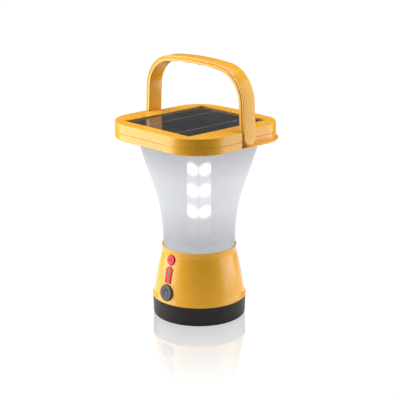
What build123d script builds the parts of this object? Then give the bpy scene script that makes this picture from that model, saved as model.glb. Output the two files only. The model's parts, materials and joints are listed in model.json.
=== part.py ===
"""Solar lantern: a moulded lantern with a square solar head, a frosted flared diffuser around an
LED post, a tapered control housing on a black base, and a carrying handle that folds back.

Millimetres, +Z up. The origin is on the table under the body axis. The control side faces -Y,
and the handle pivots on the two X sides.
"""
import math
import os

from build123d import *

# ---------------------------------------------------------------- driving dimensions
WALL = 2.4                      # moulded wall of the housings

# base
BASE_UNDERSIDE = 0.8            # the rubber pad stands this much proud
BASE_TOP = 23.3
BASE_FOOT_RADIUS = 53.7
BASE_TOP_RADIUS = 54.3
BASE_EDGE = 2.4                 # rounding of the bottom edge
BASE_FLOOR = 4.5
PAD_RADIUS = 46.0
PAD_THICKNESS = 2.0
PAD_GROOVES = [24.0, 30.0]      # inner radii of the grooves in the pad
PAD_GROOVE_WIDTH, PAD_GROOVE_DEPTH = 1.5, 0.7
REGISTER_WALL = 1.6             # ring inside the lower shell that centres it
REGISTER_TOP = 26.8
BASE_SCREW_RING = 43.0          # base screws, on the diagonals
BASE_SCREW_SEAT = 8.0
BASE_SCREW_LENGTH = 24.0
BASE_BOSS_RADIUS, BASE_BOSS_TOP = 5.0, 19.6
SHELL_BOSS_RADIUS = 4.0
SHELL_BOSS_LOW, SHELL_BOSS_TOP = 20.0, 36.0

# lower shell
LIP_RADIUS = 54.7
LIP_FLARE_RADIUS, LIP_FLARE_HEIGHT = 53.9, 26.6
SKIRT_RADIUS, SKIRT_TOP = 52.1, 31.5
MID_RADIUS, MID_HEIGHT = 48.3, 54.0
SHOULDER_RADIUS, SHOULDER_HEIGHT = 43.3, 76.0
COLLAR_RADIUS, COLLAR_START = 42.95, 80.0
RIM_RADIUS = 43.3               # bead round the mouth of the collar
RIM_HEIGHT = 1.9
NECK_TOP = 85.0
SEAT = 80.8                     # top of the shoulder that carries the diffuser
SEAT_THICKNESS = 1.8
SEAT_INNER_RADIUS = 34.0

# diffuser
TUBE_RADIUS = 41.93
DIFFUSER_BOTTOM = 81.8
FLARE_START = 94.5
FLARE_RADIUS, FLARE_HEIGHT = 53.8, 162.2
DIFFUSER_TOP_RADIUS, DIFFUSER_TOP = 70.2, 212.6
DIFFUSER_WALL = 2.0
GASKET_THICKNESS = 0.8

# head
HEAD_BOTTOM = 211.9
LEDGE_TOP = 213.3
FLOOR_TOP = 214.6
SEAM = 220.0
SEAM_GAP = 0.12
SEAM_CHAMFER = 0.35
HEAD_TOP = 231.0
HEAD_HALF_X = 80.1
HEAD_FRONT = -79.8
HEAD_REAR = 72.0
FRONT_CORNER = 43.5
REAR_CORNER = 33.5
REAR_CROWN = 480.0              # long curve of the rear edge
RECESS_HALF_X = 72.5            # the sides step in behind the handle legs
RECESS_START = -10.8
LEDGE_REAR = 74.4
LEDGE_CORNER = 44.5
LEDGE_COVE = 1.2
HEAD_WALL = 2.2
HEAD_SCREWS = [(-62.0, -60.0), (62.0, -60.0), (-62.3, 49.5), (62.3, 49.5)]
HEAD_SCREW_RECESS = 2.2
HEAD_SCREW_LENGTH = 12.0

# solar panel
APERTURE_HALF_X = 53.7
APERTURE_FRONT, APERTURE_REAR = -64.6, 55.4
TOP_PLATE = 1.2
PANEL_MARGIN = 3.6
COVER_TOP = 229.5
COVER_BOTTOM = 228.35
CELL_TOP = 228.2
CELL_THICKNESS = 0.2
BACKING_THICKNESS = 1.6
CELL_COUNT = 5
CELL_GAP = 0.7
BUS_X = 26.0
PANEL_POST_X = 48.0
JUNCTION_HEIGHT = 4.0
LEAD_RADIUS, LEAD_X = 0.8, 2.2

# handle
PIVOT_HEIGHT = 223.2
FOOT_HEIGHT = 224.7             # centre of the round feet
LEG_OUTER = 81.7                # at the pivot height
LEG_LEAN = 3.26                 # degrees, the legs lean inwards going up
HANDLE_SHOULDER = 40.84
HANDLE_TOP = 302.4
HANDLE_CROWN = 420.0            # long curve of the top
HANDLE_THICKNESS = 6.6
STRAP_THICKNESS = 2.0
STRAP_HALF_WIDTH = 8.9
STRAP_EDGE = 0.5
GRIP_HALF_WIDTH = 9.5
GRIP_CHAMFER = 1.3
GRIP_EDGE = 0.5
FINGER_PITCH = 18.6
FINGER_DEPTH = 0.8
PIN_RADIUS = 2.5
PIN_CLEARANCE = 0.05
PIN_INNER, PIN_OUTER = 59.8, 78.9
PIN_MOUTH_END = 79.1
PIVOT_BOSS_RADIUS, PIVOT_BOSS_FACE = 6.2, 73.1
WASHER_THICKNESS = 0.5
PIVOT_BLOCK_INNER, PIVOT_BLOCK_HALF_Y = 59.0, 5.0

# light post
POST_HALF = 9.6
POST_WALL = 1.6
POST_BOTTOM, POST_TOP = 85.3, 206.0
POST_FOOT_TOP = 92.0
FLANGE_HALF, SOCKET_HALF = 17.0, 12.0
FOOT_SCREWS, CAP_SCREWS = 14.4, 14.0
NECK_PLATE_RADIUS, NECK_PLATE_THICKNESS = 39.3, 2.0
NECK_SCREW_RING = 36.5
WIRE_HOLE = 6.0
LED_BOARD_HALF, LED_BOARD_BOTTOM = 8.5, 94.0
LED_BOARD_THICKNESS = 1.2
LED_HEIGHTS = [124.6, 149.8, 175.0]
LED_SIZE = 5.0
LED_THICKNESS = 0.9
GLUE_GAP = 0.1

# controls on the front wall: height on the wall, distance from the axis, lean of the wall
POWER_HEIGHT, POWER_REACH, POWER_LEAN = 35.9, 51.45, 8.8
POWER_RADIUS, POWER_CROWN = 9.5, 1.9
GAUGE_HEIGHT, GAUGE_REACH, GAUGE_LEAN = 57.0, 47.7, 11.2
TEST_HEIGHT, TEST_REACH, TEST_LEAN = 73.6, 43.8, 12.6
TEST_RADIUS, TEST_CROWN = 6.0, 1.5
BUTTON_GAP = 0.35
BUTTON_EDGE = 0.8
BUTTON_FLANGE = 1.1             # thickness of the flange that keeps a button in
STEM_RADIUS = 2.4
SWITCH_HEIGHT = 5.1
WINDOW_OFFSETS = [6.0, 1.9, -2.2, -6.3]     # battery gauge windows, along the wall
WINDOW_RADIUS = 1.55
WINDOW_GAP = 0.1
GAUGE_DEPTH = 1.2               # the plate sits this deep in the wall

# battery and main board
CELL_RADIUS, CELL_LENGTH, CELL_Y, CELL_Z = 9.1, 65.0, 9.5, 15.4
CELL_NUB = 1.0
HOLDER_HALF_X, HOLDER_HALF_Y = 35.0, 20.5
STRAP_PLATE_HALF, STRAP_PLATE_THICKNESS = 8.0, 1.6
BOARD_HALF_X, BOARD_HALF_Y = 30.0, 20.0
BOARD_LOW, BOARD_HIGH = 58.0, 59.6
SPACER_X, SPACER_Y = 25.0, 16.5

PARTS = {}


# ---------------------------------------------------------------- helpers
def turned(*outline):
    """Solid of revolution about Z from a closed outline in the radius-height plane."""
    return revolve(Plane.XZ * make_face(outline), Axis.Z)


def ring(inner, outer, low, high):
    """Plain ring about Z."""
    height = high - low
    tube = Cylinder(outer, height, align=(Align.CENTER, Align.CENTER, Align.MIN))
    if inner > 0:
        tube -= Cylinder(inner, height, align=(Align.CENTER, Align.CENTER, Align.MIN))
    return Pos(0, 0, low) * tube


def rod(x, y, low, high, radius):
    """Upright cylinder between two heights."""
    return Pos(x, y, low) * Cylinder(radius, high - low, align=(Align.CENTER, Align.CENTER, Align.MIN))


def slab(x0, x1, y0, y1, z0, z1):
    """Box between two corners."""
    return Pos((x0 + x1) / 2, (y0 + y1) / 2, (z0 + z1) / 2) * Box(x1 - x0, y1 - y0, z1 - z0)


def sideways(side, radius, inner, outer):
    """Cylinder along X about the pivot, between two distances from the middle."""
    return (Pos(side * (inner + outer) / 2, 0, PIVOT_HEIGHT) * Rot(0, 90, 0)
            * Cylinder(radius, outer - inner))


def raised(sketch, low, high):
    """Sketch on the XY plane pulled up between two heights."""
    return Pos(0, 0, low) * extrude(sketch, high - low)


def wall_plane(height, reach, lean):
    """Plane on the front wall, its Z pointing out of the wall and its X along +X."""
    tilt = math.radians(lean)
    return Plane(origin=(0, -reach, height), x_dir=(1, 0, 0), z_dir=(0, -math.cos(tilt), math.sin(tilt)))


def corners(half_x, half_y):
    """The four corner points of a rectangle about the origin."""
    return [(sx * half_x, sy * half_y) for sx in (-1, 1) for sy in (-1, 1)]


def ring_points(radius):
    """Four points on a circle, on the diagonals."""
    offset = radius / math.sqrt(2)
    return corners(offset, offset)


def save(name, *solids):
    """Keep a node: one solid, or a group of separate identical ones."""
    PARTS[name] = solids[0] if len(solids) == 1 else Compound(children=list(solids))


POWER = wall_plane(POWER_HEIGHT, POWER_REACH, POWER_LEAN)
GAUGE = wall_plane(GAUGE_HEIGHT, GAUGE_REACH, GAUGE_LEAN)
TEST = wall_plane(TEST_HEIGHT, TEST_REACH, TEST_LEAN)
DIAGONAL = BASE_SCREW_RING / math.sqrt(2)
PANEL_FRONT = APERTURE_FRONT - PANEL_MARGIN
PANEL_REAR = APERTURE_REAR + PANEL_MARGIN
PANEL_HALF_X = APERTURE_HALF_X + PANEL_MARGIN
BACKING_LOW = CELL_TOP - CELL_THICKNESS - BACKING_THICKNESS


# ---------------------------------------------------------------- base
def base_cup():
    inner_radius = BASE_TOP_RADIUS - WALL
    edge_centre = (BASE_FOOT_RADIUS - BASE_EDGE, BASE_UNDERSIDE + BASE_EDGE)
    cup = turned(
        Line((0, BASE_UNDERSIDE), (edge_centre[0], BASE_UNDERSIDE)),
        CenterArc(edge_centre, BASE_EDGE, -90, 90),
        Line((BASE_FOOT_RADIUS, edge_centre[1]), (BASE_TOP_RADIUS, BASE_TOP)),
        Line((BASE_TOP_RADIUS, BASE_TOP), (inner_radius, BASE_TOP)),
        Line((inner_radius, BASE_TOP), (inner_radius, BASE_FLOOR)),
        Line((inner_radius, BASE_FLOOR), (0, BASE_FLOOR)),
        Line((0, BASE_FLOOR), (0, BASE_UNDERSIDE)),
    )
    register_outer = SKIRT_RADIUS - WALL - 0.3
    cup += ring(register_outer - REGISTER_WALL, register_outer, BASE_FLOOR, REGISTER_TOP)
    cup += ring(register_outer - REGISTER_WALL, inner_radius + 0.5, 12.0, 20.0)
    cup -= slab(-13, 13, -inner_radius, 0, 22.0, REGISTER_TOP + 1)
    cup -= ring(0, PAD_RADIUS + 0.2, 0, PAD_THICKNESS)
    for x, y in corners(DIAGONAL, DIAGONAL):
        cup += rod(x, y, BASE_FLOOR, BASE_BOSS_TOP, BASE_BOSS_RADIUS)
        cup -= rod(x, y, 0, BASE_SCREW_SEAT, 3.4)
        cup -= rod(x, y, 0, BASE_BOSS_TOP + 1, 1.7)
    return cup


def base_pad():
    pad = ring(0, PAD_RADIUS, 0, PAD_THICKNESS)
    for x, y in corners(DIAGONAL, DIAGONAL):
        pad -= rod(x, y, -1, PAD_THICKNESS + 1, 3.8)
    for inner in PAD_GROOVES:
        pad -= ring(inner, inner + PAD_GROOVE_WIDTH, -1, PAD_GROOVE_DEPTH)
    return pad


def pan_screw(x, y, seat, length, shank, head, head_height):
    """Screw that enters upwards: its head hangs below the seat."""
    body = rod(x, y, seat, seat + length, shank)
    cap = rod(x, y, seat - head_height, seat, head)
    slot = slab(x - head, x + head, y - 0.4, y + 0.4, seat - head_height, seat - head_height + 0.9)
    cross = slab(x - 0.4, x + 0.4, y - head * 0.7, y + head * 0.7, seat - head_height,
                 seat - head_height + 0.9)
    return body + cap - slot - cross


save("base_cup", base_cup())
save("base_pad", base_pad())
save("base_screws", *[pan_screw(x, y, BASE_SCREW_SEAT, BASE_SCREW_LENGTH, 1.5, 3.0, 2.2)
                      for x, y in corners(DIAGONAL, DIAGONAL)])


# ---------------------------------------------------------------- lower shell
def gauge_outline(grow=0.0):
    """Arrow-topped bar of the battery gauge, about the middle of the gauge plane."""
    top, bottom = 4.7 + grow, 4.0 + grow
    return make_face(Polyline(
        (-bottom, -10.2 - grow), (bottom, -10.2 - grow), (top, 7.0 + grow * 0.5), (0, 9.7 + grow),
        (-top, 7.0 + grow * 0.5), close=True))


def lower_shell():
    skirt_in = SKIRT_RADIUS - WALL
    shoulder_in = SHOULDER_RADIUS - WALL
    seat_low = SEAT - SEAT_THICKNESS
    collar_in = TUBE_RADIUS + 0.15
    lip_low = BASE_TOP + 0.05
    shoulder = (SHOULDER_RADIUS, SHOULDER_HEIGHT)
    flare = (LIP_FLARE_RADIUS, LIP_FLARE_HEIGHT)
    lip = (LIP_RADIUS - 0.1, 24.0)
    rim = (RIM_RADIUS, NECK_TOP - 0.7)
    under_rim = (COLLAR_RADIUS, NECK_TOP - RIM_HEIGHT)
    shell = turned(
        ThreePointArc((SKIRT_RADIUS, SKIRT_TOP), (52.65, 28.9), flare),
        ThreePointArc(flare, (LIP_RADIUS, 25.2), lip),
        ThreePointArc(lip, (LIP_RADIUS - 0.35, 23.5), (LIP_RADIUS - 0.9, lip_low)),
        Line((LIP_RADIUS - 0.9, lip_low), (skirt_in + 0.1, lip_low)),
        Line((skirt_in + 0.1, lip_low), (skirt_in, SKIRT_TOP)),
        ThreePointArc((skirt_in, SKIRT_TOP), (MID_RADIUS - WALL, MID_HEIGHT), (shoulder_in, SHOULDER_HEIGHT)),
        Line((shoulder_in, SHOULDER_HEIGHT), (shoulder_in, seat_low)),
        Line((shoulder_in, seat_low), (SEAT_INNER_RADIUS, seat_low)),
        Line((SEAT_INNER_RADIUS, seat_low), (SEAT_INNER_RADIUS, SEAT)),
        Line((SEAT_INNER_RADIUS, SEAT), (collar_in, SEAT)),
        Line((collar_in, SEAT), (collar_in, NECK_TOP - 0.3)),
        ThreePointArc((collar_in, NECK_TOP - 0.3), (collar_in + 0.5, NECK_TOP), rim),
        ThreePointArc(rim, (RIM_RADIUS - 0.05, NECK_TOP - 1.3), under_rim),
        Line(under_rim, (COLLAR_RADIUS, COLLAR_START)),
        ThreePointArc((COLLAR_RADIUS, COLLAR_START), (COLLAR_RADIUS + 0.05, 78.2), shoulder),
        ThreePointArc(shoulder, (MID_RADIUS, MID_HEIGHT), (SKIRT_RADIUS, SKIRT_TOP)),
    )
    for x, y in corners(DIAGONAL, DIAGONAL):
        angle = math.degrees(math.atan2(y, x))
        rib = Rot(0, 0, angle) * slab(BASE_SCREW_RING, skirt_in + 0.8, -1.2, 1.2, 28.0, SHELL_BOSS_TOP)
        shell += rod(x, y, SHELL_BOSS_LOW, SHELL_BOSS_TOP, SHELL_BOSS_RADIUS) + rib
        shell -= rod(x, y, SHELL_BOSS_LOW - 1, 33.5, 1.6)
    shell -= POWER * Cylinder(POWER_RADIUS + BUTTON_GAP, 14)
    shell -= TEST * Cylinder(TEST_RADIUS + BUTTON_GAP, 9)
    shell -= GAUGE * (Pos(0, 0, -GAUGE_DEPTH) * extrude(gauge_outline(0.12), 4))
    for offset in WINDOW_OFFSETS:
        shell -= GAUGE * (Pos(0, offset, 0) * Cylinder(WINDOW_RADIUS + WINDOW_GAP, 14))
    for x, y in ring_points(NECK_SCREW_RING):
        shell -= rod(x, y, seat_low - 1, SEAT + 1, 1.35)
    return shell


save("lower_shell", lower_shell())


# ---------------------------------------------------------------- controls
def button_cap(radius, crown, flange, flange_top, stem_end):
    """Domed button with a retaining flange and a stem, its axis along local Z, Z = 0 on the wall."""
    flange_low = flange_top - BUTTON_FLANGE
    edge_radius, edge_height = radius - BUTTON_EDGE, crown - BUTTON_EDGE
    return turned(
        Line((0, stem_end), (STEM_RADIUS, stem_end)),
        Line((STEM_RADIUS, stem_end), (STEM_RADIUS, flange_low)),
        Line((STEM_RADIUS, flange_low), (flange, flange_low)),
        Line((flange, flange_low), (flange, flange_top)),
        Line((flange, flange_top), (radius, flange_top)),
        Line((radius, flange_top), (radius, edge_height)),
        CenterArc((edge_radius, edge_height), BUTTON_EDGE, 0, 90),
        Line((edge_radius, crown), (0, crown)),
        Line((0, crown), (0, stem_end)),
    )


def power_mark():
    """Raised ring with a gap at the top and a short bar through it."""
    band = Circle(4.6) - Circle(3.5) - Pos(0, 4.2) * Rectangle(3.2, 4.0)
    bar = Pos(0, 3.4) * Rectangle(1.1, 5.0)
    return raised(band + bar, POWER_CROWN - 0.4, POWER_CROWN + 0.45)


def cell_mark():
    """Raised outline of a small battery."""
    case = Rectangle(3.4, 4.8) - Rectangle(2.2, 3.6)
    nub = Pos(0, 2.9) * Rectangle(1.6, 1.1)
    return raised(case + nub, TEST_CROWN - 0.4, TEST_CROWN + 0.4)


def power_button():
    return POWER * (button_cap(POWER_RADIUS, POWER_CROWN, 10.9, -4.1, -7.0) + power_mark())


def test_button():
    """The flange is cut flat at the top, where the collar comes close."""
    cap = button_cap(TEST_RADIUS, TEST_CROWN, 7.4, -3.7, -6.4) + cell_mark()
    cap -= slab(-10, 10, 5.6, 10, -7, -3.0)
    return TEST * cap


def gauge_plate():
    plate = extrude(gauge_outline(), 1.9) + extrude(gauge_outline() - gauge_outline(-0.7), 2.2)
    for offset in WINDOW_OFFSETS:
        plate -= Pos(0, offset, 0) * Cylinder(WINDOW_RADIUS + WINDOW_GAP, 8)
    return GAUGE * (Pos(0, 0, -GAUGE_DEPTH) * plate)


def light_pipe(offset):
    """Green pipe from the board to the gauge window, with a domed end."""
    pipe = Cylinder(WINDOW_RADIUS, 9.0, align=(Align.CENTER, Align.CENTER, Align.MAX))
    pipe = fillet(pipe.edges().group_by(Axis.Z)[-1], 0.5)
    return GAUGE * (Pos(0, offset, 1.0) * pipe)


def board_plane():
    """Front face of the control board: it lies square to the mean of the two buttons' axes."""
    upper = TEST * Pos(0, 0, -12.6)
    lower = POWER * Pos(0, 0, -13.3)
    rise = upper.position - lower.position
    up = Vector(0, rise.Y, rise.Z).normalized()
    outward = Vector(0, -up.Z, up.Y)
    middle = (upper.position + lower.position) * 0.5
    return Plane(origin=middle, x_dir=(1, 0, 0), z_dir=outward), rise.length / 2


BOARD, SWITCH_OFFSET = board_plane()


def tact_switch(offset):
    """Push switch on the board, its plunger facing a button stem."""
    body = Pos(0, 0, 1.75) * Box(6.2, 6.2, 3.5)
    cover = Pos(0, 0, 3.6) * Box(5.6, 5.6, 0.4)
    plunger = Pos(0, 0, (3.5 + SWITCH_HEIGHT) / 2) * Cylinder(1.7, SWITCH_HEIGHT - 3.5)
    return BOARD * (Pos(0, offset, 0) * (body + cover + plunger))


def gauge_led(offset):
    """Small lamp on the board, facing the foot of its light pipe."""
    foot = BOARD.to_local_coords((GAUGE * Pos(0, offset, -8.0)).position)
    return BOARD * (Pos(0, foot.Y, 0.4) * Box(2.0, 1.2, 0.8))


save("power_button", power_button())
save("test_button", test_button())
save("gauge_plate", gauge_plate())
save("gauge_light_pipes", *[light_pipe(offset) for offset in WINDOW_OFFSETS])
save("control_board", BOARD * (Pos(0, 1.0, -0.8) * Box(24, 50, 1.6)))
save("tact_switches", tact_switch(-SWITCH_OFFSET), tact_switch(SWITCH_OFFSET))
save("gauge_leds", *[gauge_led(offset) for offset in WINDOW_OFFSETS])


# ---------------------------------------------------------------- battery and main board
def lying_cell(y, radius, half_length):
    """Cylinder along X at the height of the cells."""
    return Pos(0, y, CELL_Z) * Rot(0, 90, 0) * Cylinder(radius, half_length * 2)


def battery_cell(y):
    cell = lying_cell(y, CELL_RADIUS, CELL_LENGTH / 2 - CELL_NUB)
    return cell + lying_cell(y, 3.0, CELL_LENGTH / 2)


def battery_holder():
    holder = slab(-HOLDER_HALF_X, HOLDER_HALF_X, -HOLDER_HALF_Y, HOLDER_HALF_Y, BASE_FLOOR, CELL_Z)
    for y in (-CELL_Y, CELL_Y):
        holder -= lying_cell(y, CELL_RADIUS + 0.2, CELL_LENGTH / 2 + 0.2)
    return holder


def battery_strap():
    """Clamp plate across the cells."""
    low = CELL_Z + CELL_RADIUS + GLUE_GAP
    return slab(-STRAP_PLATE_HALF, STRAP_PLATE_HALF, -HOLDER_HALF_Y, HOLDER_HALF_Y, low,
                low + STRAP_PLATE_THICKNESS)


def board_components():
    """Coil, two capacitors, the charge controller and the battery socket."""
    top = BOARD_HIGH
    coil = rod(14, 8, top, top + 5.0, 5.0)
    tall = rod(-16, 9, top, top + 10.0, 4.0)
    short = rod(-6, 11, top, top + 8.0, 3.2)
    chip = slab(-4, 6, -11, -3, top, top + 1.4)
    socket = slab(-22, -14, -14, -8, top, top + 5.5)
    return [coil, tall, short, chip, socket]


def main_board():
    board = slab(-BOARD_HALF_X, BOARD_HALF_X, -BOARD_HALF_Y, BOARD_HALF_Y, BOARD_LOW, BOARD_HIGH)
    for x, y in corners(SPACER_X, SPACER_Y):
        board -= rod(x, y, BOARD_LOW - 1, BOARD_HIGH + 1, 1.3)
    return board


save("battery_cells", battery_cell(-CELL_Y), battery_cell(CELL_Y))
save("battery_holder", battery_holder())
save("battery_strap", battery_strap())
save("main_board", main_board())
save("board_components", *board_components())
save("board_spacers", *[rod(x, y, BOARD_HIGH, SEAT, 2.3) for x, y in corners(SPACER_X, SPACER_Y)])


# ---------------------------------------------------------------- neck, post and lights
def neck_plate():
    plate = ring(0, NECK_PLATE_RADIUS, SEAT, SEAT + NECK_PLATE_THICKNESS)
    plate -= slab(-WIRE_HOLE, WIRE_HOLE, -WIRE_HOLE, WIRE_HOLE, SEAT - 1, SEAT + 3)
    for x, y in ring_points(NECK_SCREW_RING) + corners(FOOT_SCREWS, FOOT_SCREWS):
        plate -= rod(x, y, SEAT - 1, SEAT + 3, 1.35)
    return plate


def neck_screw(x, y, seat, length):
    """Screw that enters downwards, with a low round head."""
    head = rod(x, y, seat, seat + 1.5, 2.3)
    return rod(x, y, seat - length, seat, 1.25) + fillet(head.edges().group_by(Axis.Z)[-1], 0.6)


def square(half, low, high):
    """Square block about the axis."""
    return slab(-half, half, -half, half, low, high)


def post_foot():
    foot = square(FLANGE_HALF, SEAT + NECK_PLATE_THICKNESS, POST_BOTTOM)
    foot += square(SOCKET_HALF, POST_BOTTOM, POST_FOOT_TOP)
    foot -= square(POST_HALF + 0.15, POST_BOTTOM, POST_FOOT_TOP + 1)
    foot -= square(WIRE_HOLE, SEAT, POST_BOTTOM + 1)
    for x, y in corners(FOOT_SCREWS, FOOT_SCREWS):
        foot -= rod(x, y, SEAT, POST_BOTTOM + 1, 1.35)
    return foot


def led_post():
    outside = fillet(square(POST_HALF, POST_BOTTOM, POST_TOP).edges().filter_by(Axis.Z), 0.8)
    return outside - square(POST_HALF - POST_WALL, POST_BOTTOM - 1, POST_TOP + 1)


def post_cap():
    cap = square(FLANGE_HALF, POST_TOP + 2.0, HEAD_BOTTOM - 1.2)
    cap += square(SOCKET_HALF, POST_TOP, POST_TOP + 2.0)
    cap += square(POST_HALF - POST_WALL - 0.15, POST_TOP - 5, POST_TOP)
    cap -= rod(0, 0, POST_TOP - 6, HEAD_BOTTOM, 5.0)
    for x, y in corners(CAP_SCREWS, CAP_SCREWS):
        cap -= rod(x, y, POST_TOP, HEAD_BOTTOM, 1.7)
    return cap


def led_board():
    """Lamp board on the -Y face of the post."""
    face = -POST_HALF - GLUE_GAP
    return slab(-LED_BOARD_HALF, LED_BOARD_HALF, face - LED_BOARD_THICKNESS, face, LED_BOARD_BOTTOM,
                POST_TOP - 0.5)


def led_column():
    """The lamps of one board, on the -Y face."""
    face = -POST_HALF - GLUE_GAP - LED_BOARD_THICKNESS
    half = LED_SIZE / 2
    return [slab(-half, half, face - LED_THICKNESS, face, height - half, height + half)
            for height in LED_HEIGHTS]


save("neck_plate", neck_plate())
save("neck_screws", *[neck_screw(x, y, SEAT + NECK_PLATE_THICKNESS, 4.5)
                      for x, y in ring_points(NECK_SCREW_RING)])
save("post_foot", post_foot())
save("post_foot_screws", *[neck_screw(x, y, POST_BOTTOM, 5.5)
                           for x, y in corners(FOOT_SCREWS, FOOT_SCREWS)])
save("led_post", led_post())
save("post_cap", post_cap())
for side, turn in (("front", 0), ("right", 90), ("rear", 180), ("left", 270)):
    save("led_board_" + side, Rot(0, 0, turn) * led_board())
save("leds", *[Rot(0, 0, turn) * lamp for turn in (0, 90, 180, 270) for lamp in led_column()])
save("lower_gasket", ring(39.7, TUBE_RADIUS - GLUE_GAP, SEAT, DIFFUSER_BOTTOM))


# ---------------------------------------------------------------- diffuser
def diffuser():
    """Straight tube, a flare tangent to it and a second flare that turns slightly upright again."""
    lean = 2 * math.atan2(FLARE_RADIUS - TUBE_RADIUS, FLARE_HEIGHT - FLARE_START)
    chord = math.atan2(DIFFUSER_TOP_RADIUS - FLARE_RADIUS, DIFFUSER_TOP - FLARE_HEIGHT)
    top_lean = 2 * chord - lean
    inner_tube = TUBE_RADIUS - DIFFUSER_WALL
    start_out, start_in = (TUBE_RADIUS, FLARE_START), (inner_tube, FLARE_START)
    flare_out = (FLARE_RADIUS, FLARE_HEIGHT)
    flare_in = (FLARE_RADIUS - DIFFUSER_WALL * math.cos(lean), FLARE_HEIGHT + DIFFUSER_WALL * math.sin(lean))
    top_out = (DIFFUSER_TOP_RADIUS, DIFFUSER_TOP)
    top_in = (DIFFUSER_TOP_RADIUS - DIFFUSER_WALL / math.cos(top_lean), DIFFUSER_TOP)
    along = (math.sin(lean), math.cos(lean))
    return turned(
        Line((TUBE_RADIUS, DIFFUSER_BOTTOM), start_out),
        TangentArc(start_out, flare_out, tangent=(0, 1)),
        TangentArc(flare_out, top_out, tangent=along),
        Line(top_out, top_in),
        TangentArc(flare_in, top_in, tangent=along),
        TangentArc(start_in, flare_in, tangent=(0, 1)),
        Line(start_in, (inner_tube, DIFFUSER_BOTTOM)),
        Line((inner_tube, DIFFUSER_BOTTOM), (TUBE_RADIUS, DIFFUSER_BOTTOM)),
    )


def ceiling_reflector():
    disc = ring(6.0, 66.0, HEAD_BOTTOM - 1.2, HEAD_BOTTOM)
    for x, y in corners(CAP_SCREWS, CAP_SCREWS):
        disc -= rod(x, y, HEAD_BOTTOM - 2, HEAD_BOTTOM + 1, 1.7)
    return disc


save("diffuser", diffuser())
save("upper_gasket", ring(DIFFUSER_TOP_RADIUS - 3.2, DIFFUSER_TOP_RADIUS + 0.4, DIFFUSER_TOP,
                          DIFFUSER_TOP + GASKET_THICKNESS))
save("ceiling_reflector", ceiling_reflector())
save("post_cap_screws", *[pan_screw(x, y, POST_TOP + 2.0, 8.0, 1.4, 2.6, 1.6)
                          for x, y in corners(CAP_SCREWS, CAP_SCREWS)])


# ---------------------------------------------------------------- head
def rounded_block(half_x, front, rear, radius):
    """Rounded rectangle between two Y positions."""
    middle = (front + rear) / 2
    return Pos(0, middle) * RectangleRounded(half_x * 2, rear - front, radius)


def crowned_block(half_x, rear, radius, inset=0.0):
    """Block with a long curve for its rear edge, rounded into the sides."""
    sides = Pos(0, rear - 100) * Rectangle((half_x - inset) * 2, 240)
    crown = Pos(0, rear - REAR_CROWN) * Circle(REAR_CROWN - inset)
    block = sides & crown
    return fillet(block.vertices().group_by(Axis.Y)[-1], radius - inset)


def before(y):
    return Pos(0, y - 100) * Rectangle(300, 200)


def behind(y):
    return Pos(0, y + 100) * Rectangle(300, 200)


def head_outline(inset=0.0):
    """Wide in front, stepped in beside and behind the handle legs."""
    step = RECESS_START - inset
    wide = rounded_block(HEAD_HALF_X - inset, HEAD_FRONT + inset, HEAD_REAR, FRONT_CORNER - inset)
    narrow = crowned_block(RECESS_HALF_X, HEAD_REAR, REAR_CORNER, inset)
    return (wide & before(step)) + (narrow & behind(step))


def ledge_outline():
    """Full width from front to rear: the handle legs stand over it."""
    front = rounded_block(HEAD_HALF_X, HEAD_FRONT, HEAD_REAR, FRONT_CORNER)
    rear = crowned_block(HEAD_HALF_X, LEDGE_REAR, LEDGE_CORNER)
    return (front & before(0)) + (rear & behind(0))


def is_cove_edge(edge):
    """Edge where the stepped-in wall meets the ledge."""
    middle = edge.center()
    on_ledge = abs(middle.Z - LEDGE_TOP) < 0.01
    beside = abs(abs(middle.X) - RECESS_HALF_X) < 0.5 and middle.Y > RECESS_START + 1
    return on_ledge and (beside or 0 < middle.Y < HEAD_REAR + 0.5 and abs(middle.X) < RECESS_HALF_X)


def head_tray():
    wall_top = SEAM - SEAM_GAP / 2
    plate = raised(ledge_outline(), HEAD_BOTTOM, LEDGE_TOP)
    plate = fillet(plate.edges().group_by(Axis.Z)[0], 0.9)
    plate = fillet(plate.edges().group_by(Axis.Z)[-1], 0.3)
    wall = raised(head_outline(), LEDGE_TOP - 0.5, wall_top)
    wall = chamfer(wall.edges().group_by(Axis.Z)[-1], SEAM_CHAMFER)
    tray = plate + wall
    tray = fillet(tray.edges().filter_by(is_cove_edge), LEDGE_COVE)
    tray -= raised(head_outline(HEAD_WALL), FLOOR_TOP, wall_top + 1)
    tray -= ring(DIFFUSER_TOP_RADIUS - 3.5, DIFFUSER_TOP_RADIUS + 0.6, HEAD_BOTTOM - 1,
                 DIFFUSER_TOP + GASKET_THICKNESS)
    for x, y in HEAD_SCREWS:
        tray += rod(x, y, FLOOR_TOP, FLOOR_TOP + 1.6, 4.4)
        tray -= rod(x, y, HEAD_BOTTOM - 1, HEAD_BOTTOM + HEAD_SCREW_RECESS, 3.0)
        tray -= rod(x, y, HEAD_BOTTOM - 1, FLOOR_TOP + 5, 1.7)
    for x, y in corners(CAP_SCREWS, CAP_SCREWS):
        tray += rod(x, y, FLOOR_TOP, FLOOR_TOP + 4.0, 3.4)
        tray -= rod(x, y, HEAD_BOTTOM - 1, FLOOR_TOP + 3.0, 1.5)
    for x in (-PANEL_POST_X, PANEL_POST_X):
        for y in (PANEL_FRONT + 6, (PANEL_FRONT + PANEL_REAR) / 2, PANEL_REAR - 6):
            tray += rod(x, y, FLOOR_TOP - 0.3, BACKING_LOW, 3.0)
    tray -= rod(0, 0, HEAD_BOTTOM - 1, FLOOR_TOP + 1, 6.0)
    return tray


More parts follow.
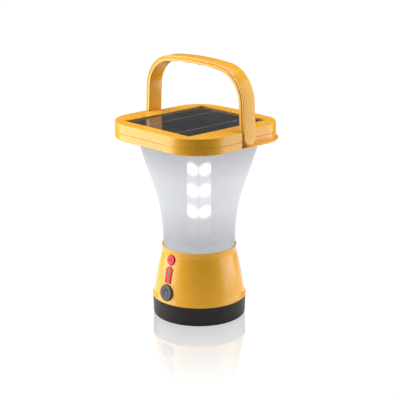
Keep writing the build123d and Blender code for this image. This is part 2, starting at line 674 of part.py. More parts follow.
def head_frame():
    wall_low = SEAM + SEAM_GAP / 2
    plate_low = HEAD_TOP - TOP_PLATE
    block = raised(head_outline(), wall_low, HEAD_TOP)
    block = fillet(block.edges().group_by(Axis.Z)[-1], 1.0)
    block = chamfer(block.edges().group_by(Axis.Z)[0], SEAM_CHAMFER)
    block -= raised(head_outline(HEAD_WALL), wall_low - 1, plate_low)
    aperture = slab(-APERTURE_HALF_X, APERTURE_HALF_X, APERTURE_FRONT, APERTURE_REAR, 200, HEAD_TOP + 1)
    block -= fillet(aperture.edges().filter_by(Axis.Z), 0.8)
    for x, y in HEAD_SCREWS:
        block += rod(x, y, FLOOR_TOP + 1.8, plate_low + 0.3, 3.4)
        block -= rod(x, y, FLOOR_TOP, plate_low - 1.5, 1.35)
    for side in (-1, 1):
        ends = sorted((side * PIVOT_BLOCK_INNER, side * (RECESS_HALF_X - 1)))
        block += slab(*ends, -PIVOT_BLOCK_HALF_Y, PIVOT_BLOCK_HALF_Y, wall_low + 0.04, plate_low + 0.3)
        block -= sideways(side, PIN_RADIUS + 0.02, PIVOT_BLOCK_INNER - 1, RECESS_HALF_X + 1)
    return block


def head_screw(x, y):
    return pan_screw(x, y, HEAD_BOTTOM + HEAD_SCREW_RECESS, HEAD_SCREW_LENGTH, 1.25, 2.7, 1.8)


def panel_slab(low, high):
    return slab(-PANEL_HALF_X, PANEL_HALF_X, PANEL_FRONT, PANEL_REAR, low, high)


def panel_tape():
    """Foam frame between the panel cover and the underside of the top plate."""
    low, high = COVER_TOP, HEAD_TOP - TOP_PLATE
    hole = slab(-APERTURE_HALF_X - 0.4, APERTURE_HALF_X + 0.4, APERTURE_FRONT - 0.4, APERTURE_REAR + 0.4,
                low - 1, high + 1)
    return panel_slab(low, high) - hole


def solar_cell(index):
    pitch = (APERTURE_REAR - APERTURE_FRONT) / CELL_COUNT
    start = APERTURE_FRONT + pitch * index
    return slab(-APERTURE_HALF_X + 0.9, APERTURE_HALF_X - 0.9, start + CELL_GAP / 2,
                start + pitch - CELL_GAP / 2, CELL_TOP - CELL_THICKNESS, CELL_TOP)


def bus_ribbon(x):
    return slab(x - 0.5, x + 0.5, APERTURE_FRONT + 1, APERTURE_REAR - 1, CELL_TOP, CELL_TOP + 0.1)


save("head_tray", head_tray())
save("head_frame", head_frame())
save("head_screws", *[head_screw(x, y) for x, y in HEAD_SCREWS])
save("panel_cover", panel_slab(COVER_BOTTOM, COVER_TOP))
save("panel_tape", panel_tape())
save("solar_cells", *[solar_cell(index) for index in range(CELL_COUNT)])
save("bus_ribbons", bus_ribbon(-BUS_X), bus_ribbon(BUS_X))
save("panel_backing", panel_slab(BACKING_LOW, BACKING_LOW + BACKING_THICKNESS))
save("junction_block", slab(-9, 9, -6, 6, BACKING_LOW - JUNCTION_HEIGHT, BACKING_LOW))
save("panel_leads", *[rod(x, 0, BOARD_HIGH, BACKING_LOW - JUNCTION_HEIGHT, LEAD_RADIUS)
                      for x in (-LEAD_X, LEAD_X)])


# ---------------------------------------------------------------- handle
def arch_path():
    """Outer line of the handle on the XZ plane, from the right foot over the top to the left foot."""
    lean = math.radians(LEG_LEAN)
    crown_centre = Vector(0, 0, HANDLE_TOP - HANDLE_CROWN)
    along = Vector(-math.sin(lean), 0, math.cos(lean))
    inward = Vector(-math.cos(lean), 0, -math.sin(lean))
    pivot = Vector(LEG_OUTER, 0, PIVOT_HEIGHT)
    start = pivot + inward * HANDLE_SHOULDER - crown_centre
    reach = HANDLE_CROWN - HANDLE_SHOULDER
    middle = start.dot(along)
    travel = math.sqrt(middle ** 2 + reach ** 2 - start.dot(start)) - middle
    shoulder = start + along * travel
    leg_end = crown_centre + shoulder - inward * HANDLE_SHOULDER
    crown_end = crown_centre + shoulder * (HANDLE_CROWN / reach)
    leg = Line(pivot - along * 20, leg_end)
    bend = TangentArc(leg_end, crown_end, tangent=along)
    crown = ThreePointArc(crown_end, (0, 0, HANDLE_TOP), (-crown_end.X, 0, crown_end.Z))
    half = leg + bend
    return half + crown + mirror(half, Plane.YZ)


def swept(section):
    """Section carried along the arch: its X is the width, its Y the depth below the outer face."""
    path = arch_path()
    start = Plane(origin=path @ 0, x_dir=(0, 1, 0), z_dir=path % 0)
    return sweep(start * section, path=path)


def leg_profile(half_width):
    """Side outline of the handle with its round feet, pulled across the whole width."""
    foot = Circle(half_width)
    leg = Pos(0, 60) * Rectangle(half_width * 2, 120)
    outline = Plane(origin=(-100, 0, FOOT_HEIGHT), x_dir=(0, 1, 0), z_dir=(1, 0, 0)) * (foot + leg)
    return extrude(outline, 200)


def handle_strap():
    section = Pos(0, STRAP_THICKNESS / 2) * Rectangle(STRAP_HALF_WIDTH * 2, STRAP_THICKNESS)
    section = fillet(section.vertices().group_by(Axis.Y)[0], STRAP_EDGE)
    return swept(section) & leg_profile(STRAP_HALF_WIDTH)


def handle_grip():
    depth = HANDLE_THICKNESS - STRAP_THICKNESS
    section = Pos(0, STRAP_THICKNESS + depth / 2) * Rectangle(GRIP_HALF_WIDTH * 2, depth)
    section = chamfer(section.vertices().group_by(Axis.Y)[0], GRIP_CHAMFER)
    section = fillet(section.vertices().group_by(Axis.Y)[-1], GRIP_EDGE)
    grip = swept(section) & leg_profile(GRIP_HALF_WIDTH)
    finger_radius = ((FINGER_PITCH / 2.4) ** 2 + FINGER_DEPTH ** 2) / (2 * FINGER_DEPTH)
    finger_centre = HANDLE_TOP - HANDLE_THICKNESS + FINGER_DEPTH - finger_radius
    for index in (-1, 0, 1):
        grip -= Pos(index * FINGER_PITCH, 0, finger_centre) * Rot(90, 0, 0) * Cylinder(finger_radius, 40)
    for side in (-1, 1):
        grip += sideways(side, PIVOT_BOSS_RADIUS, PIVOT_BOSS_FACE, LEG_OUTER - HANDLE_THICKNESS + 1)
        grip -= sideways(side, PIN_RADIUS + PIN_CLEARANCE, PIVOT_BOSS_FACE - 1, PIN_MOUTH_END)
    return grip


def pivot_pin(side):
    """Steel pin from inside the head frame into the handle leg."""
    return sideways(side, PIN_RADIUS, PIN_INNER, PIN_OUTER)


def pivot_washer(side):
    outer = RECESS_HALF_X + WASHER_THICKNESS
    washer = sideways(side, PIVOT_BOSS_RADIUS, RECESS_HALF_X, outer)
    return washer - sideways(side, PIN_RADIUS + GLUE_GAP, RECESS_HALF_X - 1, outer + 1)


save("handle_strap", handle_strap())
save("handle_grip", handle_grip())
save("pivot_pins", pivot_pin(-1), pivot_pin(1))
save("pivot_washers", pivot_washer(-1), pivot_washer(1))

os.makedirs("parts", exist_ok=True)
for node, shape in PARTS.items():
    export_step(shape, "parts/" + node + ".step")
    print(node, round(shape.volume, 1))
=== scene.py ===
"""Looks of the solar lantern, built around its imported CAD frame. Metres, row frame, +Z up, front -Y."""
import json
import math

import bmesh
import bpy
from mathutils import Matrix, Quaternion, Vector


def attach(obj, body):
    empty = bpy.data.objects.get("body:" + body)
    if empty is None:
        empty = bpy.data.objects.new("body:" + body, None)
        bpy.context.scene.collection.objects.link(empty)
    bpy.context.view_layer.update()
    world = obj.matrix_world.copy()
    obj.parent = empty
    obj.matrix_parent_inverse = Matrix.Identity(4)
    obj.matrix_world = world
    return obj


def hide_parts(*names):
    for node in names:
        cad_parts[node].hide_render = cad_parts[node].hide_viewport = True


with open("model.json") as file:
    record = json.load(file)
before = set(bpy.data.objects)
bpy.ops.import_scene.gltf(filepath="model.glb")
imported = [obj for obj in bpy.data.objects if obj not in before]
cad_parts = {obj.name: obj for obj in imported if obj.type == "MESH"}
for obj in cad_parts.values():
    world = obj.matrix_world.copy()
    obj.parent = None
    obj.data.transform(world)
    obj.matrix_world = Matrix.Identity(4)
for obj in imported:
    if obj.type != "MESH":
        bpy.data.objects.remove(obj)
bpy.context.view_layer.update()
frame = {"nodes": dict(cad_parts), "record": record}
scene = bpy.context.scene

# ---------------------------------------------------------------- camera
CAMERA_AZIMUTH = math.radians(46.82)
CAMERA_DISTANCE = 1.3837
CAMERA_HEIGHT = 0.5385
CAMERA_PITCH = math.radians(16.21)
CAMERA_YAW = math.radians(-0.045)
CAMERA_ROLL = math.radians(-0.15)
CAMERA_LENS = 112.5
SENSOR = 36.0
CLIP_NEAR, CLIP_FAR = 0.05, 60


def direction(azimuth, elevation=0.0):
    """Unit vector from the lantern's axis, azimuth 0 towards -Y."""
    flat = math.cos(elevation)
    return Vector((math.sin(azimuth) * flat, -math.cos(azimuth) * flat, math.sin(elevation)))


def make_camera():
    """Camera at the photograph's place, as fitted to its outline."""
    data = bpy.data.cameras.new("camera")
    camera = bpy.data.objects.new("camera", data)
    scene.collection.objects.link(camera)
    camera.location = direction(CAMERA_AZIMUTH) * CAMERA_DISTANCE + Vector((0, 0, CAMERA_HEIGHT))
    look = -direction(CAMERA_AZIMUTH + CAMERA_YAW, CAMERA_PITCH)
    camera.rotation_mode = "QUATERNION"
    camera.rotation_quaternion = look.to_track_quat("-Z", "Y") @ Quaternion((0, 0, 1), CAMERA_ROLL)
    data.lens = CAMERA_LENS
    data.sensor_width = SENSOR
    data.clip_start, data.clip_end = CLIP_NEAR, CLIP_FAR
    scene.camera = camera


# ---------------------------------------------------------------- node helpers
class Nodes:
    """Small wrapper that adds nodes to a material and links them."""

    def __init__(self, name):
        self.material = bpy.data.materials.new(name)
        self.material.use_nodes = True
        self.tree = self.material.node_tree
        self.shader = self.tree.nodes["Principled BSDF"]
        self.output = self.tree.nodes["Material Output"]
        self.coords = None

    def add(self, kind, **settings):
        """New node with its plain settings filled in."""
        node = self.tree.nodes.new(kind)
        for key, value in settings.items():
            setattr(node, key, value)
        return node

    def link(self, out_socket, in_socket):
        self.tree.links.new(out_socket, in_socket)

    def position(self):
        """Socket with the place in metres, made once for each material."""
        if self.coords is None:
            self.coords = self.add("ShaderNodeTexCoord").outputs["Object"]
        return self.coords

    def stretched(self, scale):
        """Position scaled along each axis, for streaky noise."""
        mapping = self.add("ShaderNodeMapping")
        self.link(self.position(), mapping.inputs["Vector"])
        mapping.inputs["Scale"].default_value = scale
        return mapping.outputs["Vector"]

    def noise(self, scale, detail=3.0, roughness=0.55, vector=None):
        """Soft random value at each place, about 0.3 to 0.7."""
        node = self.add("ShaderNodeTexNoise")
        self.link(vector or self.position(), node.inputs["Vector"])
        node.inputs["Scale"].default_value = scale
        node.inputs["Detail"].default_value = detail
        node.inputs["Roughness"].default_value = roughness
        return node.outputs["Fac"]

    def ranged(self, value, low, high, start=0.3, end=0.7):
        """Value mapped from start to end onto low to high, held at both ends."""
        node = self.add("ShaderNodeMapRange")
        self.link(value, node.inputs["Value"])
        node.inputs["From Min"].default_value = start
        node.inputs["From Max"].default_value = end
        node.inputs["To Min"].default_value = low
        node.inputs["To Max"].default_value = high
        return node.outputs["Result"]

    def mixed(self, factor, first, second):
        """Blend of two colours, each a tuple or a socket."""
        node = self.add("ShaderNodeMix", data_type="RGBA")
        self.link(factor, node.inputs[0])
        for socket, value in ((node.inputs[6], first), (node.inputs[7], second)):
            if isinstance(value, tuple):
                socket.default_value = (*value, 1)
            else:
                self.link(value, socket)
        return node.outputs[2]

    def bump(self, height, strength, distance, under=None):
        """Normal raised by a height, on top of another normal where one is given."""
        node = self.add("ShaderNodeBump")
        self.link(height, node.inputs["Height"])
        node.inputs["Strength"].default_value = strength
        node.inputs["Distance"].default_value = distance
        if under is not None:
            self.link(under, node.inputs["Normal"])
        return node.outputs["Normal"]


def tone(color, factor):
    """Colour made lighter or darker."""
    return tuple(min(1.0, channel * factor) for channel in color)


DRIFT_SCALE, GLOSS_SCALE, FLOW_SCALE = 26.0, 70.0, 9.0
GLOSS_SPREAD = 0.02
FLOW_STRETCH = (1, 1, 2.5)
FLOW_STRENGTH, FLOW_HEIGHT = 0.10, 0.00015
GRAIN_HEIGHT = 0.00008


def moulded(name, color, rough, depth=0.025, grain=0.05, grain_scale=1400.0, metallic=0.0):
    """Moulded or finished surface: soft colour drift, uneven gloss, fine grain and faint flow marks."""
    nodes = Nodes(name)
    shader = nodes.shader
    drift = nodes.ranged(nodes.noise(DRIFT_SCALE), 0, 1)
    drifted = nodes.mixed(drift, tone(color, 1 - depth), tone(color, 1 + depth))
    nodes.link(drifted, shader.inputs["Base Color"])
    gloss = nodes.noise(GLOSS_SCALE, 4.0)
    uneven = nodes.ranged(gloss, rough - GLOSS_SPREAD, rough + GLOSS_SPREAD)
    nodes.link(uneven, shader.inputs["Roughness"])
    streaks = nodes.noise(FLOW_SCALE, 1.0, vector=nodes.stretched(FLOW_STRETCH))
    flow = nodes.bump(streaks, FLOW_STRENGTH, FLOW_HEIGHT)
    fine = nodes.bump(nodes.noise(grain_scale, 2.0), grain, GRAIN_HEIGHT, flow)
    nodes.link(fine, shader.inputs["Normal"])
    shader.inputs["Metallic"].default_value = metallic
    return nodes


# ---------------------------------------------------------------- materials
YELLOW = (0.80, 0.395, 0.027)


def yellow_plastic():
    nodes = moulded("yellow_plastic", YELLOW, 0.27)
    nodes.shader.inputs["IOR"].default_value = 1.45
    return nodes.material


def black_plastic():
    nodes = moulded("black_plastic", (0.011, 0.009, 0.009), 0.36, 0.12, 0.2)
    nodes.shader.inputs["IOR"].default_value = 1.35
    return nodes.material


def rubber():
    nodes = moulded("rubber", (0.022, 0.022, 0.023), 0.72, 0.15, 0.35, 900.0)
    return nodes.material


def dark_grey_plastic():
    nodes = moulded("dark_grey_plastic", (0.045, 0.042, 0.045), 0.38, 0.08)
    return nodes.material


def red_plastic():
    nodes = moulded("red_plastic", (0.68, 0.02, 0.028), 0.26, 0.05, 0.08)
    nodes.shader.inputs["IOR"].default_value = 1.3
    return nodes.material


def green_lens():
    nodes = moulded("green_lens", (0.10, 0.22, 0.15), 0.18, 0.12, 0.05)
    nodes.shader.inputs["Transmission Weight"].default_value = 0.35
    return nodes.material


FROST_ALPHA = 0.68              # the rest of the light passes straight through
# painted glow on the frosted wall, standing in for the lamps' light scattered in it
FROST_GLOW_LOW, FROST_GLOW_HIGH = 0.44, 0.64
FROST_RISE = (0.095, 0.135)     # heights between which the painted glow comes up
FROST_FALL = (0.170, 0.205)     # heights between which the painted glow dies away


def frosted_plastic():
    """Frosted wall: mostly milky, a share of it open to the lamps, with a painted glow where the lamps
    would light it, standing in for their light scattered in the wall.
    """
    nodes = moulded("frosted_plastic", (0.095, 0.097, 0.102), 0.5, 0.01, 0.0)
    shader = nodes.shader
    shader.inputs["Specular IOR Level"].default_value = 0.12
    shader.inputs["Alpha"].default_value = FROST_ALPHA
    shader.inputs["Emission Color"].default_value = (0.93, 0.95, 1.0, 1)
    split = nodes.add("ShaderNodeSeparateXYZ")
    nodes.link(nodes.position(), split.inputs[0])
    rise = nodes.ranged(split.outputs["Z"], 0.0, 1.0, *FROST_RISE)
    fall = nodes.ranged(split.outputs["Z"], 1.0, 0.0, *FROST_FALL)
    both = nodes.add("ShaderNodeMath", operation="MULTIPLY")
    nodes.link(rise, both.inputs[0])
    nodes.link(fall, both.inputs[1])
    # painted glow, strongest between the lamp heights
    glow = nodes.ranged(both.outputs[0], FROST_GLOW_LOW, FROST_GLOW_HIGH, 0.0, 1.0)
    nodes.link(glow, shader.inputs["Emission Strength"])
    return nodes.material


def white_plastic():
    return moulded("white_plastic", (0.82, 0.82, 0.81), 0.45, 0.02).material


def holder_plastic():
    return moulded("holder_plastic", (0.07, 0.07, 0.08), 0.5, 0.1).material


def aluminium():
    nodes = moulded("aluminium", (0.80, 0.80, 0.81), 0.32, 0.03, 0.2, 900.0, 1.0)
    return nodes.material


LAMP_HEIGHTS = (0.1246, 0.1498, 0.1750)
GLOW_SQUEEZE = 0.74             # the painted glow round a lamp is wider than tall
# painted glow round each lamp, a painted halo between them and a faint painted glow over the whole board
GLOW_FULL, GLOW_END = 0.0082, 0.0128
GLOW_POWER, GLOW_STRENGTH = 2.0, 14.0
HALO_SQUEEZE, HALO_FULL, HALO_END, HALO_STRENGTH = 0.2, 0.014, 0.036, 1.0
BOARD_PAINTED_GLOW = 0.25
LAMP_STRENGTH = 18.0


def white_board():
    """White lamp boards with painted glow: bright round each lamp and soft between them, standing in for
    the lamps' light spread by the frosted wall.
    """
    nodes = moulded("white_board", (0.86, 0.86, 0.84), 0.4, 0.02)

    def around(height, squeeze, full, end):
        """1 near a height on the axis, falling to 0 away from it."""
        away = nodes.add("ShaderNodeVectorMath", operation="MULTIPLY_ADD")
        nodes.link(nodes.position(), away.inputs[0])
        away.inputs[1].default_value = (squeeze, squeeze, 1)
        away.inputs[2].default_value = (0, 0, -height)
        length = nodes.add("ShaderNodeVectorMath", operation="LENGTH")
        nodes.link(away.outputs[0], length.inputs[0])
        return nodes.ranged(length.outputs["Value"], 1.0, 0.0, full, end)

    def joined(operation, first, second):
        """Sum, product or the like of sockets and plain numbers."""
        node = nodes.add("ShaderNodeMath", operation=operation)
        for socket, value in zip(node.inputs, (first, second)):
            if isinstance(value, float):
                socket.default_value = value
            else:
                nodes.link(value, socket)
        return node.outputs[0]

    # painted glow: bright spots round the lamps plus a soft halo round the middle one
    glow = around(LAMP_HEIGHTS[0], GLOW_SQUEEZE, GLOW_FULL, GLOW_END)
    for height in LAMP_HEIGHTS[1:]:
        glow = joined("MAXIMUM", glow, around(height, GLOW_SQUEEZE, GLOW_FULL, GLOW_END))
    halo = around(LAMP_HEIGHTS[1], HALO_SQUEEZE, HALO_FULL, HALO_END)
    spots = joined("MULTIPLY", joined("POWER", glow, GLOW_POWER), GLOW_STRENGTH)
    total = joined("ADD", spots, joined("MULTIPLY", halo, HALO_STRENGTH))
    nodes.shader.inputs["Emission Color"].default_value = (0.95, 0.98, 1.0, 1)
    nodes.link(joined("ADD", total, BOARD_PAINTED_GLOW), nodes.shader.inputs["Emission Strength"])
    return nodes.material


def lamp():
    """Lamps, all lit."""
    nodes = moulded("led", (0.95, 0.94, 0.80), 0.3, 0.02)
    nodes.shader.inputs["Emission Color"].default_value = (1.0, 1.0, 1.0, 1)
    nodes.shader.inputs["Emission Strength"].default_value = LAMP_STRENGTH
    return nodes.material


def green_board():
    return moulded("green_board", (0.015, 0.13, 0.05), 0.3, 0.15).material


def components():
    return moulded("components", (0.04, 0.04, 0.045), 0.4, 0.15).material


def cell_wrap():
    return moulded("cell_wrap", (0.05, 0.18, 0.42), 0.28, 0.06).material


def steel():
    return moulded("steel", (0.62, 0.62, 0.63), 0.3, 0.05, 0.25, 1800.0, 1.0).material


def panel_cover():
    """Clear glossy cover over the cells."""
    nodes = moulded("panel_cover", (0.94, 0.96, 0.97), 0.06, 0.01, 0.0)
    nodes.shader.inputs["Transmission Weight"].default_value = 1.0
    nodes.shader.inputs["IOR"].default_value = 1.22
    return nodes.material


COLLECTOR_SCALE = 170.0
COLLECTOR_LEVELS = (0.93, 1.0)  # only the crests of the wave show as lines


def silicon():
    """Dark cells with fine collector fingers across them."""
    nodes = moulded("silicon", (0.021, 0.023, 0.027), 0.45, 0.10)
    nodes.shader.inputs["Specular IOR Level"].default_value = 0.15
    wave = nodes.add("ShaderNodeTexWave", wave_type="BANDS", bands_direction="X", wave_profile="SIN")
    nodes.link(nodes.position(), wave.inputs["Vector"])
    wave.inputs["Scale"].default_value = COLLECTOR_SCALE
    wave.inputs["Distortion"].default_value = 0.0
    lines = nodes.ranged(wave.outputs["Fac"], 0.0, 1.0, *COLLECTOR_LEVELS)
    ground = nodes.shader.inputs["Base Color"].links[0].from_socket
    nodes.link(nodes.mixed(lines, ground, (0.11, 0.11, 0.12)), nodes.shader.inputs["Base Color"])
    return nodes.material


def ribbon():
    return moulded("ribbon", (0.52, 0.52, 0.50), 0.45, 0.1, 0.3, 1500.0, 0.2).material


def wire():
    return moulded("wire", (0.45, 0.02, 0.02), 0.45, 0.05).material


# ---------------------------------------------------------------- handle and panel details
PIVOT_HEIGHT, FOOT_HEIGHT = 0.2232, 0.2247
LEG_OUTER, LEG_LEAN = 0.0817, math.radians(3.26)
SHOULDER, CROWN, HANDLE_TOP = 0.04084, 0.420, 0.3024
STRAP_DEPTH, HANDLE_DEPTH = 0.0020, 0.0066
STRAP_HALF, GRIP_HALF, GRIP_CHAMFER = 0.0089, 0.0095, 0.0013
FINGER_PITCH, FINGER_DEPTH = 0.0186, 0.0008
HOLLOW_SPREAD = 2.4             # pitch over half the width of one hollow
HOLLOW_CLEAR, HOLLOW_LOWEST = 0.001, 0.05   # below the notch, and above the feet
BOSS_RADIUS, BOSS_FACE, BOSS_END, BOSS_EDGE = 0.0062, 0.0731, 0.0760, 0.0003
EDGE_ROUND, NOTCH_ROUND, SEAM_ROUND = 0.0005, 0.0002, 0.00015
FOOT_STEPS, LEG_STEPS, SHOULDER_STEPS, CROWN_STEPS = 18, 12, 36, 60
MERGE_DISTANCE, SHARP_ANGLE = 1e-7, math.radians(40)


def arch_stations(foot_radius):
    """Handle's outer line from the right foot to the left.

    Each station is a point, the inward direction there and the share of the full width.
    """
    along = Vector((-math.sin(LEG_LEAN), 0, math.cos(LEG_LEAN)))
    inward = Vector((-math.cos(LEG_LEAN), 0, -math.sin(LEG_LEAN)))
    pivot = Vector((LEG_OUTER, 0, PIVOT_HEIGHT))
    crown_centre = Vector((0, 0, HANDLE_TOP - CROWN))
    start = pivot + inward * SHOULDER - crown_centre
    reach = CROWN - SHOULDER
    middle = start.dot(along)
    travel = math.sqrt(middle ** 2 + reach ** 2 - start.dot(start)) - middle
    centre = crown_centre + start + along * travel
    leg_end = centre - inward * SHOULDER

    def on_leg(height):
        return pivot + along * ((height - PIVOT_HEIGHT) / along.z)

    half = []
    for step in range(FOOT_STEPS + 1):
        turn = math.radians(90 * step / FOOT_STEPS)
        half.append((on_leg(FOOT_HEIGHT - foot_radius * math.cos(turn)), inward, math.sin(turn)))
    for step in range(1, LEG_STEPS + 1):
        half.append((on_leg(FOOT_HEIGHT).lerp(leg_end, step / LEG_STEPS), inward, 1.0))
    first = math.atan2(-inward.z, -inward.x)
    last = math.atan2(centre.z - crown_centre.z, centre.x)
    for step in range(1, SHOULDER_STEPS + 1):
        angle = first + (last - first) * step / SHOULDER_STEPS
        out = Vector((math.cos(angle), 0, math.sin(angle)))
        half.append((centre + out * SHOULDER, -out, 1.0))
    for step in range(1, CROWN_STEPS + 1):
        angle = last + (math.pi / 2 - last) * step / CROWN_STEPS
        out = Vector((math.cos(angle), 0, math.sin(angle)))
        half.append((crown_centre + out * CROWN, -out, 1.0))
    other = [(Vector((-point.x, 0, point.z)), Vector((-normal.x, 0, normal.z)), share)
             for point, normal, share in reversed(half[:-1])]
    return half + other


def rounded_outline(corner_list, steps=4):
    """Closed outline with its corners rounded. Each corner is (across, depth, radius)."""
    outline = []
    count = len(corner_list)
    for index, (x, y, radius) in enumerate(corner_list):
        here = Vector((x, y))
        before = (Vector(corner_list[index - 1][:2]) - here).normalized()
        after = (Vector(corner_list[(index + 1) % count][:2]) - here).normalized()
        opening = before.angle(after)
        run = radius / math.tan(opening / 2)
        middle = here + (before + after).normalized() * (radius / math.sin(opening / 2))
        begin, end = here + before * run - middle, here + after * run - middle
        for step in range(steps + 1):
            spoke = begin.slerp(end, step / steps).normalized()
            outline.append(middle + spoke * radius)
    return outline


def finger_height(x):
    """Height that the hollows under the grip reach at a distance from the middle."""
    radius = ((FINGER_PITCH / HOLLOW_SPREAD) ** 2 + FINGER_DEPTH ** 2) / (2 * FINGER_DEPTH)
    top = HANDLE_TOP - HANDLE_DEPTH + FINGER_DEPTH
    heights = [0.0]
    for index in (-1, 0, 1):
        away = abs(x - index * FINGER_PITCH)
        if away < radius:
            heights.append(top - radius + math.sqrt(radius ** 2 - away ** 2))
    return max(heights)


def finished(name, mesh_data, body, node_slot, replaced=None):
    """Makes an object of a bmesh, smooth between its sharp edges, riding on its body."""
    mesh = bpy.data.meshes.new(name)
    bmesh.ops.remove_doubles(mesh_data, verts=mesh_data.verts, dist=MERGE_DISTANCE)
    bmesh.ops.recalc_face_normals(mesh_data, faces=mesh_data.faces)
    mesh_data.to_mesh(mesh)
    mesh_data.free()
    for polygon in mesh.polygons:
        polygon.use_smooth = True
    mesh.set_sharp_from_angle(angle=SHARP_ANGLE)
    piece = bpy.data.objects.new(name, mesh)
    scene.collection.objects.link(piece)
    mesh.materials.append(LOOKS[node_slot])
    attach(piece, body)
    if replaced:
        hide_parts(replaced)


def swept(data, outline, foot_radius, hollows=False):
    """Carries an outline of (across, depth) along the arch, narrowing it round the feet."""
    hollow_depth = STRAP_DEPTH + GRIP_CHAMFER + HOLLOW_CLEAR
    rings = []
    for point, inward, share in arch_stations(foot_radius):
        ring = []
        for across, depth in outline:
            place = point + inward * depth + Vector((0, across * share, 0))
            if hollows and depth > hollow_depth and place.z > FOOT_HEIGHT + HOLLOW_LOWEST:
                floor = (point + inward * HANDLE_DEPTH).z
                place.z += max(0.0, finger_height(place.x) - floor)
            ring.append(data.verts.new(place))
        rings.append(ring)
    count = len(outline)
    for first, second in zip(rings, rings[1:]):
        for index in range(count):
            nearby = (index + 1) % count
            data.faces.new((first[index], first[nearby], second[nearby], second[index]))


def turned_solid(data, profile, side, count=48):
    """Turns an outline of (distance along X, radius) about the handle's pivot."""
    rings = []
    for along, radius in profile:
        ring = []
        for index in range(count):
            angle = 2 * math.pi * index / count
            ring.append(data.verts.new((side * along, radius * math.cos(angle),
                                        PIVOT_HEIGHT + radius * math.sin(angle))))
        rings.append(ring)
    for first, second in zip(rings, rings[1:]):
        for index in range(count):
            nearby = (index + 1) % count
            quad = (first[index], first[nearby], second[nearby], second[index])
            spread = {tuple(round(value, 7) for value in vertex.co) for vertex in quad}
            if len(spread) > 2:
                data.faces.new(quad)


def make_handle():
    """Strap and grip of the handle, in place of the CAD's two nodes. The grip has no pin bores."""
    strap = bmesh.new()
    swept(strap, rounded_outline([
        (-STRAP_HALF, 0, EDGE_ROUND), (STRAP_HALF, 0, EDGE_ROUND),
        (STRAP_HALF, STRAP_DEPTH, SEAM_ROUND), (-STRAP_HALF, STRAP_DEPTH, SEAM_ROUND)]), STRAP_HALF)
    finished("strap_shell", strap, "handle", "yellow_plastic", "handle_strap")
    grip = bmesh.new()
    waist, below = GRIP_HALF - GRIP_CHAMFER, STRAP_DEPTH + GRIP_CHAMFER
    swept(grip, rounded_outline([
        (-waist, STRAP_DEPTH, SEAM_ROUND), (waist, STRAP_DEPTH, SEAM_ROUND),
        (GRIP_HALF, below, NOTCH_ROUND), (GRIP_HALF, HANDLE_DEPTH, EDGE_ROUND),
        (-GRIP_HALF, HANDLE_DEPTH, EDGE_ROUND), (-GRIP_HALF, below, NOTCH_ROUND)]),
        GRIP_HALF, hollows=True)
    boss = [(BOSS_FACE, 0.0), (BOSS_FACE, BOSS_RADIUS - BOSS_EDGE), (BOSS_FACE + BOSS_EDGE, BOSS_RADIUS),
            (BOSS_END, BOSS_RADIUS), (BOSS_END, 0.0)]
    for side in (-1, 1):
        turned_solid(grip, boss, side)
    finished("grip_shell", grip, "handle", "yellow_plastic", "handle_grip")


SOLDER_X = 0.026
SOLDER_Y = (-0.0406, -0.0166, 0.0074, 0.0314)
SOLDER_Z = 0.22826
SOLDER_SIZE = (0.0013, 0.0020, 0.00006)   # half sizes


def make_solder():
    """Flat solder joints where the ribbons cross from cell to cell."""
    data = bmesh.new()
    for x in (-SOLDER_X, SOLDER_X):
        for y in SOLDER_Y:
            place = Matrix.Translation((x, y, SOLDER_Z)) @ Matrix.Diagonal((*SOLDER_SIZE, 1))
            bmesh.ops.create_uvsphere(data, u_segments=20, v_segments=10, radius=1.0, matrix=place)
    finished("solder_joints", data, "lantern", "ribbon")


# ---------------------------------------------------------------- studio
FLOOR_SIZE = 16.0
TABLE_RADIUS, TABLE_BLEND = 0.36, 0.08     # the part of the floor that lights the lantern
TABLE_COLOR, OUTER_COLOR, TABLE_GLOW = (0.80, 0.80, 0.80), (0.12, 0.12, 0.12), 0.10
FLOOR_WHITE = 1.02              # what the camera sees of the bare floor
MIRROR_SHARE = 0.38
MIRROR_FADE = (0.054, 0.21)     # distances from the axis over which the mirror image fades
WORLD_FILL = 0.085


def plane(name, points):
    """Flat piece of the studio."""
    mesh = bpy.data.meshes.new(name)
    mesh.from_pydata(points, [], [tuple(range(len(points)))])
    item = bpy.data.objects.new(name, mesh)
    scene.collection.objects.link(item)
    return item


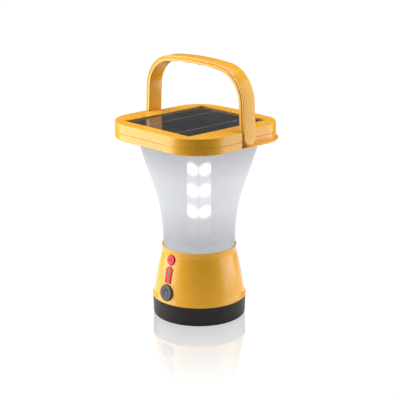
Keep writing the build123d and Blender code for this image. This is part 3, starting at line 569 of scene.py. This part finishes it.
def make_floor():
    """White floor. The camera sees even white, with a mirror image that fades away from the lantern.

    Other rays meet a plain floor whose middle, the table, throws light up on the lantern.
    """
    h = FLOOR_SIZE / 2
    floor = plane("floor", [(-h, -h, 0), (h, -h, 0), (h, h, 0), (-h, h, 0)])
    nodes = Nodes("floor")
    shader = nodes.shader
    shader.inputs["Roughness"].default_value = 0.6
    shader.inputs["Emission Color"].default_value = (1, 1, 1, 1)
    radius = nodes.add("ShaderNodeVectorMath", operation="LENGTH")
    nodes.link(nodes.position(), radius.inputs[0])
    reach = nodes.ranged(radius.outputs["Value"], 0.0, 1.0,
                         TABLE_RADIUS - TABLE_BLEND, TABLE_RADIUS + TABLE_BLEND)
    nodes.link(nodes.mixed(reach, TABLE_COLOR, OUTER_COLOR), shader.inputs["Base Color"])
    nodes.link(nodes.ranged(reach, TABLE_GLOW, 0.0, 0.0, 1.0), shader.inputs["Emission Strength"])
    white = nodes.add("ShaderNodeEmission")
    white.inputs["Strength"].default_value = FLOOR_WHITE
    mirror = nodes.add("ShaderNodeBsdfGlossy")
    mirror.inputs["Color"].default_value = (1, 1, 1, 1)
    mirror.inputs["Roughness"].default_value = 0.0
    share = nodes.ranged(radius.outputs["Value"], MIRROR_SHARE, 0.0, *MIRROR_FADE)
    seen = nodes.add("ShaderNodeMixShader")
    nodes.link(share, seen.inputs[0])
    nodes.link(white.outputs[0], seen.inputs[1])
    nodes.link(mirror.outputs[0], seen.inputs[2])
    both = nodes.add("ShaderNodeMixShader")
    nodes.link(nodes.add("ShaderNodeLightPath").outputs["Is Camera Ray"], both.inputs[0])
    nodes.link(shader.outputs[0], both.inputs[1])
    nodes.link(seen.outputs[0], both.inputs[2])
    nodes.link(both.outputs[0], nodes.output.inputs["Surface"])
    nodes.material.cycles.emission_sampling = "NONE"
    floor.data.materials.append(nodes.material)


def make_world():
    """White to the camera and to the floor's sharp mirror image, dim to everything else."""
    world = bpy.data.worlds.new("studio")
    scene.world = world
    world.use_nodes = True
    nodes, links = world.node_tree.nodes, world.node_tree.links
    output = nodes["World Output"]
    seen = nodes["Background"]
    seen.inputs["Color"].default_value = (1, 1, 1, 1)
    seen.inputs["Strength"].default_value = 1.0
    fill = nodes.new("ShaderNodeBackground")
    fill.inputs["Color"].default_value = (1, 1, 1, 1)
    fill.inputs["Strength"].default_value = WORLD_FILL
    path = nodes.new("ShaderNodeLightPath")
    either = nodes.new("ShaderNodeMath")
    either.operation = "MAXIMUM"
    links.new(path.outputs["Is Camera Ray"], either.inputs[0])
    links.new(path.outputs["Is Singular Ray"], either.inputs[1])
    mix = nodes.new("ShaderNodeMixShader")
    links.new(either.outputs[0], mix.inputs[0])
    links.new(fill.outputs[0], mix.inputs[1])
    links.new(seen.outputs[0], mix.inputs[2])
    links.new(mix.outputs[0], output.inputs["Surface"])


def softbox(name, turn, distance, height, aim, size, power):
    """Area light, turned about the axis from the camera's direction, aimed at a height on the axis."""
    data = bpy.data.lights.new(name, "AREA")
    data.shape = "RECTANGLE"
    data.size, data.size_y = size
    data.energy = power
    light = bpy.data.objects.new(name, data)
    scene.collection.objects.link(light)
    light.location = direction(CAMERA_AZIMUTH + math.radians(turn)) * distance + Vector((0, 0, height))
    toward = Vector((0, 0, aim)) - light.location
    light.rotation_mode = "QUATERNION"
    light.rotation_quaternion = toward.to_track_quat("-Z", "Y")


# name, turn in degrees, distance, height, height aimed at, size, power in watts
LIGHTS = (
    ("left_softbox", -90, 0.80, 0.46, 0.36, (0.9, 0.9), 11),
    ("right_softbox", 90, 0.85, 0.46, 0.36, (0.9, 0.9), 6.8),
    ("left_card", -90, 0.58, 0.02, 3.0, (0.5, 0.4), 2.4),
    ("right_card", 90, 0.58, 0.02, 3.0, (0.5, 0.4), 2.4),
    ("top_softbox", 180, 0.15, 1.45, 0.0, (1.3, 1.3), 19),
)


make_camera()
make_world()
for light_settings in LIGHTS:
    softbox(*light_settings)
make_floor()
scene.view_settings.view_transform = "Standard"

LOOKS = {
    "yellow_plastic": yellow_plastic(), "black_plastic": black_plastic(), "rubber": rubber(),
    "dark_grey_plastic": dark_grey_plastic(), "red_plastic": red_plastic(), "green_lens": green_lens(),
    "frosted_plastic": frosted_plastic(), "white_plastic": white_plastic(),
    "holder_plastic": holder_plastic(), "aluminium": aluminium(), "white_board": white_board(),
    "led": lamp(), "green_board": green_board(), "components": components(), "cell_wrap": cell_wrap(),
    "steel": steel(), "panel_cover": panel_cover(), "silicon": silicon(), "ribbon": ribbon(),
    "wire": wire(),
}
for name in ("frosted_plastic", "white_board", "led"):
    LOOKS[name].cycles.emission_sampling = "NONE"
for row in frame["record"]["subparts"]:
    node = frame["nodes"][row["node"]]
    node.data.materials.clear()
    node.data.materials.append(LOOKS[row["material_slot"]])

make_handle()
make_solder()
